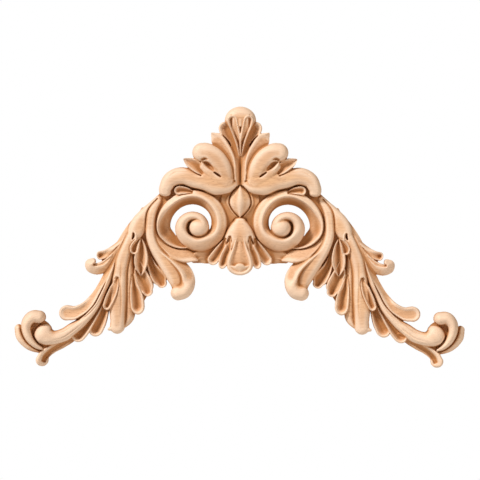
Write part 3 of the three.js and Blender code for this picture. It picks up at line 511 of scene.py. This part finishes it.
def surface_of(shape):
    """A leaf as a net of spots on the sheet and their heights."""
    rows = rows_of(shape)
    _, _, _, heights, places, shares = (np.array(part) for part in zip(*rows))
    right, left = np.broadcast_to(shape["edge"], 2)
    edge = right + (left - right) * (places + 1) / 2
    heights = heights[:, None] * (edge + (1 - edge) * shares)
    return spread(rows), heights


def cleft_of(shape):
    """The cut around a leaf, as a net that lowers what lies under the leaf and just beside it."""
    width, floor = shape["cleft"]
    rows = rows_of(shape)
    point, travel, half, height, places, shares = rows[-1]
    if shape["tip"] or half < NARROW_END:
        rows.append((point + width * travel, travel, CLEFT_END * width, height, places, shares))
    heights = np.array([row[3] for row in rows])
    depth = np.repeat((heights * floor)[:, None], len(places), 1)
    depth[:, [0, -1]] = (heights * (floor + CLEFT_LIP))[:, None]
    return spread(rows, width), depth


class Sheet:
    """One half of the carving as a grid of heights, as shares of the relief."""

    def __init__(self, cell):
        self.cell = cell
        columns = int((SHEET_REACH + OVERLAP + MARGIN) / cell) + 1
        rows = int((SHEET_HIGH - SHEET_LOW) / cell) + 1
        self.heights = np.full((rows, columns), NO_WOOD)

    def lay(self, net, keep):
        """Lays a net of spots with heights on the grid. Keep is np.maximum, which adds wood, or
        np.minimum, which takes it away."""
        spots, heights = net
        grid = (spots - (-OVERLAP, SHEET_LOW)) / self.cell
        index = np.arange(heights.size).reshape(heights.shape)
        a, b, c, d = index[:-1, :-1], index[1:, :-1], index[1:, 1:], index[:-1, 1:]
        corners = np.concatenate([np.stack([a, b, c], -1).reshape(-1, 3),
                                  np.stack([a, c, d], -1).reshape(-1, 3)])
        self.fill(grid.reshape(-1, 2)[corners], heights.reshape(-1)[corners], keep)

    def fill(self, corners, heights, keep):
        """Fills triangles, all at once: each step takes one cell of every triangle's own box."""
        low = np.ceil(corners.min(1) - ROUNDING).astype(int)
        span = np.floor(corners.max(1) + ROUNDING).astype(int) - low + 1
        first = corners[:, 0]
        u = corners[:, 1] - first
        v = corners[:, 2] - first
        area = u[:, 0] * v[:, 1] - v[:, 0] * u[:, 1]
        whole = (span > 0).all(1) & (np.abs(area) > NO_AREA)
        low, span, first, u, v, area = (part[whole] for part in (low, span, first, u, v, area))
        heights = heights[whole]
        if not len(low):
            return
        for step in np.ndindex(*span.max(0)):
            near = (np.array(step) < span).all(1)
            cell = low[near] + step
            offset = cell - first[near]
            share_u = (offset[:, 0] * v[near, 1] - v[near, 0] * offset[:, 1]) / area[near]
            share_v = (u[near, 0] * offset[:, 1] - offset[:, 0] * u[near, 1]) / area[near]
            inside = (share_u >= -ALMOST_NOTHING) & (share_v >= -ALMOST_NOTHING)
            inside &= share_u + share_v <= 1 + ALMOST_NOTHING
            inside &= (cell >= 0).all(1) & (cell[:, 0] < self.heights.shape[1])
            inside &= cell[:, 1] < self.heights.shape[0]
            h = heights[near][inside]
            su, sv = share_u[inside], share_v[inside]
            value = (1 - su - sv) * h[:, 0] + su * h[:, 1] + sv * h[:, 2]
            keep.at(self.heights, (cell[inside, 1], cell[inside, 0]), value)

    def add(self, shape):
        """Does one piece of the work: lays a leaf, takes out a groove or cuts a slit."""
        if shape["work"] == "leaf":
            if shape["cleft"]:
                self.lay(cleft_of(shape), np.minimum)
            self.lay(surface_of(shape), np.maximum)
            return
        rows = rows_of(shape)
        _, _, _, last, places, _ = (np.array(part) for part in zip(*rows))
        if shape["work"] == "slit":
            rise = np.clip((np.abs(places) - SLIT_FLOOR) / (1 - SLIT_FLOOR), 0, 1) ** 2
            sides = last[:, None] + (SLIT_TOP - last[:, None]) * rise
            self.lay((spread(rows), sides), np.minimum)
            return
        before = self.heights
        self.heights = np.zeros_like(before)
        self.lay((spread(rows), last[:, None] * (1 - places ** 2)), np.maximum)
        self.heights = before - self.heights

    def fold(self):
        """Makes the line of symmetry even: what runs past it on one side shows on the other too."""
        middle = round(OVERLAP / self.cell)
        near = self.heights[:, :2 * middle + 1]
        self.heights[:, :2 * middle + 1] = np.maximum(near, near[:, ::-1])


def blurred(values, spread_cells):
    """Values softened with a bell curve so many cells wide."""
    reach = int(math.ceil(BELL_REACH * spread_cells))
    taps = np.exp(-0.5 * (np.arange(-reach, reach + 1) / spread_cells) ** 2)
    taps /= taps.sum()
    for axis in (0, 1):
        padding = [(0, 0), (0, 0)]
        padding[axis] = (reach, reach)
        padded = np.pad(values, padding, mode="edge")
        size = values.shape[axis]
        values = sum(tap * np.take(padded, np.arange(i, i + size), axis)
                     for i, tap in enumerate(taps))
    return values


def carve_half():
    """The half sheet with every leaf laid and every slit cut, from the lowest to the topmost."""
    sheet = Sheet(LAYING_CELL)
    for group in (grounds, skirt_leaf, far_end_back, arm_curls, leaflets, frond_and_stem,
                  end_scroll, middle_leaf, hook, volute, crown_side_leaves, brow, crown, bead,
                  shell):
        for shape in group():
            sheet.add(shape)
    sheet.fold()
    return sheet


class Surface:
    """The whole carving as a grid: heights, how much of each cell is wood, and how hollow it is."""

    def __init__(self):
        sheet = carve_half()
        wood = (sheet.heights > NO_WOOD / 2).astype(float)
        cells = SOFTENING / sheet.cell
        cover = blurred(wood, cells)
        heights = blurred(np.where(wood > 0, sheet.heights, 0), cells)
        heights = heights / np.maximum(cover, ALMOST_NOTHING)
        past = round(OVERLAP / sheet.cell)
        whole = [np.hstack([part[:, past:][:, :0:-1], part[:, past:]])
                 for part in (heights, cover)]
        # The leaves are laid twice as finely as the surface is made, so every second cell is kept.
        middle = whole[0].shape[1] // 2
        start = middle % 2
        self.heights, self.cover = (part[::2, start::2] for part in whole)
        self.left = -(self.heights.shape[1] // 2) * SURFACE_CELL
        self.hollow = self.hollowness()

    def hollowness(self):
        """How deep each spot lies below what is around it, from -1 on a crest to 1 in a crease."""
        wood = (self.cover > WOOD_COVER).astype(float)
        near_wood = np.maximum(blurred(wood, BESIDE_CELLS), LEAST_COVER)
        beside = blurred(self.heights * wood, BESIDE_CELLS) / near_wood
        level = np.where(wood > 0, self.heights, EDGE_FALL * beside)
        total = 0
        for reach, weight in HOLLOW_REACHES:
            around = blurred(level, reach / SURFACE_CELL)
            full = FULL_HOLLOW_GROWTH * reach + FULL_HOLLOW
            total = total + weight * (around - self.heights) / full
        return np.clip(total, -1, 1)

    def corners(self):
        """The spots of the grid, in metres."""
        rows, columns = self.heights.shape
        x = (self.left + np.arange(columns) * SURFACE_CELL) * UNIT
        z = (SHEET_LOW + np.arange(rows) * SURFACE_CELL) * UNIT
        across, up = np.meshgrid(x, z)
        return np.stack([across, -self.heights * RELIEF, up], -1)


CORNER_GAP = 0.02  # how near a corner the wood may end, as a share of a cell's side
BACK_DEPTH = 1e-5  # a spot less than this many metres from the back lies on it
SHARP_ANGLE = math.radians(58)
FACES_BACK = 0.9  # a face whose normal points backwards by more than this is part of the back

# The wooden part of a cell of the grid, by which of its corners are wood: 1 for the first, 2 for
# the second, 4 for the third and 8 for the fourth. Corners are 0 to 3, and 4 to 7 are the places
# on its sides where the wood ends.
LAST_CORNER = 3
CELL_OUTLINES = {
    1: (0, 4, 7), 2: (1, 5, 4), 3: (0, 1, 5, 7), 4: (2, 6, 5), 5: (0, 4, 5, 2, 6, 7),
    6: (1, 2, 6, 4), 7: (0, 1, 2, 6, 7), 8: (3, 7, 6), 9: (0, 4, 6, 3), 10: (1, 5, 6, 3, 7, 4),
    11: (0, 1, 5, 6, 3), 12: (2, 3, 7, 5), 13: (0, 4, 5, 2, 3), 14: (1, 2, 3, 7, 4),
    15: (0, 1, 2, 3),
}


def outline_faces(surface):
    """The front of the carving as spots and faces, and the pairs of spots along its edge."""
    cover, corners = surface.cover, surface.corners()
    rows, columns = cover.shape
    count = rows * columns
    index = np.arange(count).reshape(rows, columns)
    wood = cover > WOOD_COVER

    def crossing(first, second):
        step = np.where(first[0] == second[0], 1, second[0] - first[0])
        share = np.clip((WOOD_COVER - first[0]) / step, CORNER_GAP, 1 - CORNER_GAP)
        return first[1] + share[..., None] * (second[1] - first[1])

    sideways = crossing((cover[:, :-1], corners[:, :-1]), (cover[:, 1:], corners[:, 1:]))
    upwards = crossing((cover[:-1], corners[:-1]), (cover[1:], corners[1:]))
    spots = np.concatenate([part.reshape(-1, 3) for part in (corners, sideways, upwards)])
    side = count + np.arange(sideways[..., 0].size).reshape(rows, columns - 1)
    up = count + side.size + np.arange(upwards[..., 0].size).reshape(rows - 1, columns)
    around = np.stack([index[:-1, :-1], index[:-1, 1:], index[1:, 1:], index[1:, :-1],
                       side[:-1], up[:, 1:], side[1:], up[:, :-1]], -1)
    case = wood[:-1, :-1] * 1 + wood[:-1, 1:] * 2 + wood[1:, 1:] * 4 + wood[1:, :-1] * 8
    faces, edges = [], []
    for number, outline in CELL_OUTLINES.items():
        cells = around[case == number]
        faces.append(cells[:, outline])
        for first, second in zip(outline, outline[1:] + outline[:1]):
            if first > LAST_CORNER and second > LAST_CORNER:
                edges.append(cells[:, (first, second)])
    return spots, faces, np.concatenate(edges)


def closed_body(surface):
    """The front, the walls and the flat back as one closed body."""
    spots, fronts, edges = outline_faces(surface)
    back = spots * (1, 0, 1)
    count = len(spots)
    walls = np.stack([edges[:, 1], edges[:, 0], edges[:, 0] + count, edges[:, 1] + count], 1)
    backs = [face[:, ::-1] + count for face in fronts]
    groups = (*fronts, walls, *backs)
    used = np.unique(np.concatenate([group.ravel() for group in groups]))
    renumber = np.zeros(2 * count, int)
    renumber[used] = np.arange(len(used))
    faces = [face for group in groups for face in renumber[group].tolist()]
    return np.concatenate([spots, back])[used], faces


def mesh_object(name, spots, faces):
    mesh = bpy.data.meshes.new(name)
    mesh.from_pydata(spots.tolist(), [], faces)
    mesh.update()
    made = bpy.data.objects.new(name, mesh)
    bpy.context.scene.collection.objects.link(made)
    return made


def thin_out(piece, triangles):
    """Leaves a piece so many triangles: large ones where it is flat, small ones where it bends."""
    count = sum(len(face.vertices) - 2 for face in piece.data.polygons)
    thinning = piece.modifiers.new("thinning", "DECIMATE")
    thinning.ratio = min(1, triangles / count)
    thinning.use_collapse_triangulate = True
    graph = bpy.context.evaluated_depsgraph_get()
    mesh = bpy.data.meshes.new_from_object(piece.evaluated_get(graph))
    piece.modifiers.clear()
    old = piece.data
    piece.data = mesh
    bpy.data.meshes.remove(old)
    mesh.name = piece.name


def keep_in_cad_box(mesh):
    """No point stands out of the box that the solid fills, and the back stays flat."""
    spots = np.empty(len(mesh.vertices) * 3, np.float32)
    mesh.vertices.foreach_get("co", spots)
    spots = np.clip(spots.reshape(-1, 3), np.array(CAD_LOW), np.array(CAD_HIGH))
    spots[spots[:, 1] > -BACK_DEPTH, 1] = 0
    mesh.vertices.foreach_set("co", spots.astype(np.float32).ravel())
    mesh.update()
    return spots


def mark_hollows(mesh, spots, surface):
    """Writes how hollow the carving is at each point, for the painted shade in its creases and the
    painted highlight on its crests.
    """
    column = (spots[:, 0] / UNIT - surface.left) / SURFACE_CELL
    row = (spots[:, 2] / UNIT - SHEET_LOW) / SURFACE_CELL
    rows, columns = surface.hollow.shape
    low_row = np.clip(row.astype(int), 0, rows - 2)
    low_column = np.clip(column.astype(int), 0, columns - 2)
    up, along = row - low_row, column - low_column

    def across(line):
        return ((1 - along) * surface.hollow[line, low_column]
                + along * surface.hollow[line, low_column + 1])

    value = (1 - up) * across(low_row) + up * across(low_row + 1)
    value[spots[:, 1] > -BACK_DEPTH] = 0
    mark = mesh.attributes.new("hollow", "FLOAT", "POINT")
    mark.data.foreach_set("value", value.astype(np.float32))


def finish_shading(mesh):
    """Smooth shading with crisp outer edges, and the sawn finish on the flat back."""
    mesh.shade_smooth()
    mesh.set_sharp_from_angle(angle=SHARP_ANGLE)
    normals = np.empty(len(mesh.polygons) * 3, np.float32)
    mesh.polygons.foreach_get("normal", normals)
    on_back = (normals.reshape(-1, 3)[:, 1] > FACES_BACK).astype(np.int32)
    mesh.polygons.foreach_set("material_index", on_back)
    mesh.update()


def node(tree, kind, inputs=None, **settings):
    """Adds a node to a tree. An input is a number, a colour or another node's output."""
    made = tree.nodes.new(kind)
    for name, value in settings.items():
        setattr(made, name, value)
    for name, value in (inputs or {}).items():
        if isinstance(value, bpy.types.NodeSocket):
            tree.links.new(value, made.inputs[name])
        else:
            made.inputs[name].default_value = value
    return made


def ramp(tree, value, low, high, bottom=0.0, top=1.0):
    """A value mapped smoothly from one range to another."""
    made = node(tree, "ShaderNodeMapRange", {"Value": value, "From Min": low, "From Max": high,
                                             "To Min": bottom, "To Max": top},
                interpolation_type="SMOOTHSTEP")
    return made.outputs["Result"]


def blend_colours(tree, share, first, second):
    made = node(tree, "ShaderNodeMix", {0: share, 6: first, 7: second}, data_type="RGBA")
    return made.outputs[2]


def calculate(tree, how, first, second):
    return node(tree, "ShaderNodeMath", {0: first, 1: second}, operation=how).outputs[0]


def linear(red, green, blue):
    """A colour as it looks on a screen, 0 to 255, as the numbers that a shader takes."""
    def straight(value):
        value /= 255
        return value / 12.92 if value <= 0.04045 else ((value + 0.055) / 1.055) ** 2.4
    return (straight(red), straight(green), straight(blue), 1)


BEECH = linear(205, 161, 124)
WARM_BEECH = linear(211, 168, 127)
BAND_BROWN = linear(189, 143, 105)
COARSE_FIBRE_BROWN = linear(191, 145, 107)
FIBRE_BROWN = linear(176, 130, 96)
FLECK_BROWN = linear(140, 90, 56)
# painted shade: the brown laid into the creases, where shade falls
PAINTED_SHADE_BROWN = linear(158, 97, 36)
# painted highlight: the pale cream laid on the crests, where light catches
PAINTED_HIGHLIGHT_CREAM = linear(228, 208, 188)
SAW_LINE_BROWN = linear(186, 140, 100)
FLOOR_WHITE = (0.85, 0.85, 0.84, 1)

# How many waves of each kind of grain there are in a metre, first along the grain.
PATCH_WAVES = (18, 30, 30)
BAND_WAVES = (9, 260, 150)
FIBRE_WAVES = (120, 2400, 2400)
COARSE_FIBRE_WAVES = (45, 900, 700)
FLECK_WAVES = (270, 1050, 1050)
SAW_LINE_WAVES = (1100, 1100, 14)
NOISE_ROUGHNESS = 0.55

# How much each counts in the fine relief of the bare wood.
FIBRE_RELIEF, COARSE_FIBRE_RELIEF, FLECK_RELIEF, SAW_LINE_RELIEF = 0.6, 0.7, 0.5, 2


def stretched_noise(tree, where, scale, detail):
    """Noise drawn out along the grain, which runs along X. The scale is in waves per metre."""
    mapping = node(tree, "ShaderNodeMapping", {"Vector": where, "Scale": scale})
    noise = node(tree, "ShaderNodeTexNoise",
                 {"Vector": mapping.outputs[0], "Scale": 1, "Detail": detail,
                  "Roughness": NOISE_ROUGHNESS})
    return noise.outputs["Fac"]


def beech_grain_group():
    """Beech grain: broad growth bands, fine fibres and short dark flecks, all along X."""
    group = bpy.data.node_groups.new("beech_grain", "ShaderNodeTree")
    for name in ("Bands", "Fibres", "Flecks"):
        group.interface.new_socket(name, in_out="INPUT", socket_type="NodeSocketFloat")
    for name, kind in (("Colour", "NodeSocketColor"), ("Height", "NodeSocketFloat"),
                       ("Roughness", "NodeSocketFloat")):
        group.interface.new_socket(name, in_out="OUTPUT", socket_type=kind)
    given = node(group, "NodeGroupInput").outputs
    where = node(group, "ShaderNodeTexCoord").outputs["Object"]

    def product(first, second):
        return calculate(group, "MULTIPLY", first, second)

    patches = stretched_noise(group, where, PATCH_WAVES, detail=2)
    bands = stretched_noise(group, where, BAND_WAVES, detail=3)
    fibres = stretched_noise(group, where, FIBRE_WAVES, detail=2)
    coarse = stretched_noise(group, where, COARSE_FIBRE_WAVES, detail=3)
    cells = node(group, "ShaderNodeMapping", {"Vector": where, "Scale": FLECK_WAVES})
    dots = node(group, "ShaderNodeTexVoronoi", {"Vector": cells.outputs[0], "Scale": 1})
    near = ramp(group, dots.outputs["Distance"], low=0.1, high=0.22, bottom=1, top=0)
    chosen = ramp(group, dots.outputs["Color"], low=0.55, high=0.6)
    flecks = product(product(near, chosen), given["Flecks"])

    wood = blend_colours(group, ramp(group, patches, low=0.3, high=0.7), BEECH, WARM_BEECH)
    for noise, low, high, strength, colour in (
            (bands, 0.4, 0.66, "Bands", BAND_BROWN),
            (coarse, 0.42, 0.7, "Fibres", COARSE_FIBRE_BROWN),
            (fibres, 0.45, 0.75, "Fibres", FIBRE_BROWN)):
        share = product(ramp(group, noise, low, high), given[strength])
        wood = blend_colours(group, share, wood, colour)
    wood = blend_colours(group, flecks, wood, FLECK_BROWN)

    height = calculate(group, "ADD", product(fibres, FIBRE_RELIEF),
                       product(coarse, COARSE_FIBRE_RELIEF))
    height = calculate(group, "SUBTRACT", height, product(flecks, FLECK_RELIEF))
    roughness = ramp(group, fibres, low=0.3, high=0.7, bottom=0.52, top=0.66)
    node(group, "NodeGroupOutput", {"Colour": wood, "Height": height, "Roughness": roughness})
    return group


def new_material(name):
    material = bpy.data.materials.new(name)
    material.use_nodes = True
    tree = material.node_tree
    tree.nodes.clear()
    shader = node(tree, "ShaderNodeBsdfPrincipled", {"Specular IOR Level": 0.35})
    node(tree, "ShaderNodeOutputMaterial", {"Surface": shader.outputs[0]})
    return material, tree, shader


def dress(tree, shader, colour, roughness, height, strength, distance):
    """Gives a shader its colour and roughness, and the height as a fine relief."""
    bump = node(tree, "ShaderNodeBump",
                {"Height": height, "Strength": strength, "Distance": distance})
    tree.links.new(colour, shader.inputs["Base Color"])
    tree.links.new(roughness, shader.inputs["Roughness"])
    tree.links.new(bump.outputs[0], shader.inputs["Normal"])


def bare_beech(grain):
    """The carved face and the walls: bare beech, with painted shade that browns the creases and a
    painted highlight that pales the crests.
    """
    material, tree, shader = new_material("bare_beech")
    wood = node(tree, "ShaderNodeGroup", {"Bands": 0.55, "Fibres": 0.9, "Flecks": 0.7},
                node_tree=grain).outputs
    hollow = node(tree, "ShaderNodeAttribute", attribute_name="hollow").outputs["Fac"]
    # painted shade: the deeper a spot lies in a crease, the browner it is painted
    painted_shade_share = ramp(tree, hollow, low=0.05, high=0.8, top=0.8)
    # painted highlight: the higher a spot stands on a crest, the paler it is painted
    painted_highlight_share = ramp(tree, hollow, low=-0.12, high=-0.8, top=0.5)
    colour = blend_colours(tree, painted_shade_share, wood["Colour"], PAINTED_SHADE_BROWN)
    colour = blend_colours(tree, painted_highlight_share, colour, PAINTED_HIGHLIGHT_CREAM)
    dress(tree, shader, colour, wood["Roughness"], wood["Height"], strength=0.35, distance=0.00012)
    return material


def sawn_beech(grain):
    """The flat back, as it left the saw: duller, with fine upright saw lines."""
    material, tree, shader = new_material("sawn_beech")
    wood = node(tree, "ShaderNodeGroup", {"Bands": 0.6, "Fibres": 0.6, "Flecks": 0.7},
                node_tree=grain).outputs
    where = node(tree, "ShaderNodeTexCoord").outputs["Object"]
    lines = stretched_noise(tree, where, SAW_LINE_WAVES, detail=2)
    in_lines = ramp(tree, lines, low=0.4, high=0.7, top=0.3)
    colour = blend_colours(tree, in_lines, wood["Colour"], SAW_LINE_BROWN)
    roughness = ramp(tree, lines, low=0.3, high=0.7, bottom=0.66, top=0.8)
    saw_relief = calculate(tree, "MULTIPLY", lines, SAW_LINE_RELIEF)
    height = calculate(tree, "ADD", wood["Height"], saw_relief)
    dress(tree, shader, colour, roughness, height, strength=0.5, distance=0.00015)
    return material


def carved_applique():
    """The whole carving: one piece of wood, which stands for the solid."""
    surface = Surface()
    piece = mesh_object("carved_applique", *closed_body(surface))
    thin_out(piece, MOST_TRIANGLES)
    spots = keep_in_cad_box(piece.data)
    mark_hollows(piece.data, spots, surface)
    grain = beech_grain_group()
    piece.data.materials.append(bare_beech(grain))
    piece.data.materials.append(sawn_beech(grain))
    finish_shading(piece.data)
    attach(piece, "root")
    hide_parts("applique")


# The camera stands straight in front. The photograph is 480 sheet units wide and high, its middle
# lies a little below the bead, and it is turned by a hair.
CAMERA_DISTANCE = 3.0
CAMERA_SEES_TO = 50
SENSOR = 36
PHOTO_WIDTH = 480 * UNIT
PHOTO_MIDDLE = Vector((0, 0, -39 * UNIT))
PHOTO_TILT = math.radians(0.22)

# How bright and what colour the surround is, as the camera sees it and as it lights the carving.
SEEN_SURROUND, SEEN_WHITE = 1.0, (1, 1, 1, 1)
LIT_SURROUND, LIT_WARM = 0.3, (1, 0.85, 0.68, 1)
FLOOR_HALF = 3
FLOOR_DROP = 0.4  # how far the floor lies below the carving


def camera():
    data = bpy.data.cameras.new("camera")
    data.sensor_width = SENSOR
    data.lens = SENSOR * CAMERA_DISTANCE / PHOTO_WIDTH
    data.clip_end = CAMERA_SEES_TO
    made = bpy.data.objects.new("camera", data)
    bpy.context.scene.collection.objects.link(made)
    turn = Matrix.Rotation(math.radians(90), 4, "X") @ Matrix.Rotation(PHOTO_TILT, 4, "Z")
    made.matrix_world = Matrix.Translation(PHOTO_MIDDLE - Vector((0, CAMERA_DISTANCE, 0))) @ turn
    bpy.context.scene.camera = made


def soft_light(name, place, size, power, colour):
    """A square soft light that faces the carving."""
    data = bpy.data.lights.new(name, "AREA")
    data.size = size
    data.energy = power
    data.color = colour
    made = bpy.data.objects.new(name, data)
    bpy.context.scene.collection.objects.link(made)
    made.location = place
    made.rotation_euler = (PHOTO_MIDDLE - Vector(place)).to_track_quat("-Z", "Y").to_euler()


def studio():
    """A key light from the upper left, a weak warm fill from the right, a white surround and a pale
    floor."""
    soft_light("key", place=(-6.4, -5.8, 6.9), size=2.1, power=1550, colour=(0.98, 0.99, 1))
    soft_light("fill", place=(1.5, -1.2, 0.6), size=0.9, power=11, colour=(1, 0.93, 0.84))
    bpy.context.scene.view_settings.view_transform = "Standard"
    bpy.context.scene.view_settings.look = "None"
    world = bpy.data.worlds.new("white_surround")
    bpy.context.scene.world = world
    world.use_nodes = True
    tree = world.node_tree
    tree.nodes.clear()
    seen = node(tree, "ShaderNodeLightPath").outputs["Is Camera Ray"]
    strength = ramp(tree, seen, low=0, high=1, bottom=LIT_SURROUND, top=SEEN_SURROUND)
    colour = blend_colours(tree, seen, LIT_WARM, SEEN_WHITE)
    background = node(tree, "ShaderNodeBackground", {"Color": colour, "Strength": strength})
    node(tree, "ShaderNodeOutputWorld", {"Surface": background.outputs[0]})

    half, below = FLOOR_HALF, CAD_LOW.z - FLOOR_DROP
    corners = np.array([(-half, -half, below), (half, -half, below), (half, half, below),
                        (-half, half, below)])
    floor = mesh_object("floor", corners, [(0, 1, 2, 3)])
    material, tree, shader = new_material("pale_floor")
    shader.inputs["Base Color"].default_value = FLOOR_WHITE
    shader.inputs["Roughness"].default_value = 0.8
    floor.data.materials.append(material)


camera()
studio()
carved_applique()
